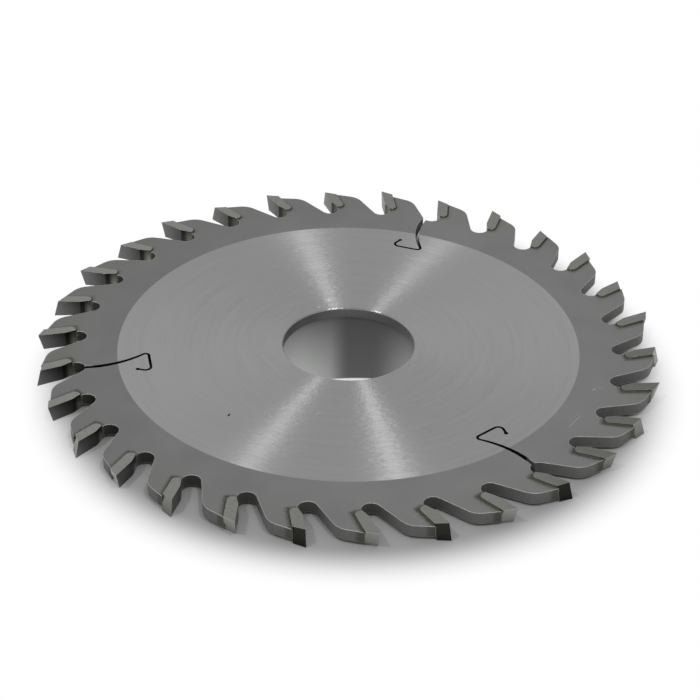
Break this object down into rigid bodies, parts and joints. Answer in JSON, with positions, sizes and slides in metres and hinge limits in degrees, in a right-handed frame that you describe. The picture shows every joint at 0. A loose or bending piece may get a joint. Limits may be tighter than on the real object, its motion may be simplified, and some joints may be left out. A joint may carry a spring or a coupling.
{
  "type": "circular saw blade",
  "caption": "Small circular saw blade: a steel plate with brazed carbide tips, hooked expansion slots and a round arbor bore.",
  "frame": {"origin": "centre of the bore, halfway through the plate's thickness", "axes": "+Z along the bore axis, out of the face that the picture shows; the teeth lead counter-clockwise seen from +Z, and the first tooth points along -Y"},
  "size_m": [0.1194, 0.12, 0.0032],
  "materials": {
    "plate_steel": "satin",
    "carbide": "ground",
    "braze": "dull"
  },
  "bodies": {
    "root": {"blade_body": "plate_steel", "tip_01": "carbide", "tip_02": "carbide", "tip_03": "carbide", "tip_04": "carbide", "tip_05": "carbide", "tip_06": "carbide", "tip_07": "carbide", "tip_08": "carbide", "tip_09": "carbide", "tip_10": "carbide", "tip_11": "carbide", "tip_12": "carbide", "tip_13": "carbide", "tip_14": "carbide", "tip_15": "carbide", "tip_16": "carbide", "tip_17": "carbide", "tip_18": "carbide", "tip_19": "carbide", "tip_20": "carbide", "tip_21": "carbide", "tip_22": "carbide", "tip_23": "carbide", "tip_24": "carbide", "tip_25": "carbide", "tip_26": "carbide", "tip_27": "carbide", "tip_28": "carbide", "tip_29": "carbide", "tip_30": "carbide", "braze_seams": "braze"}
  },
  "joints": []
}
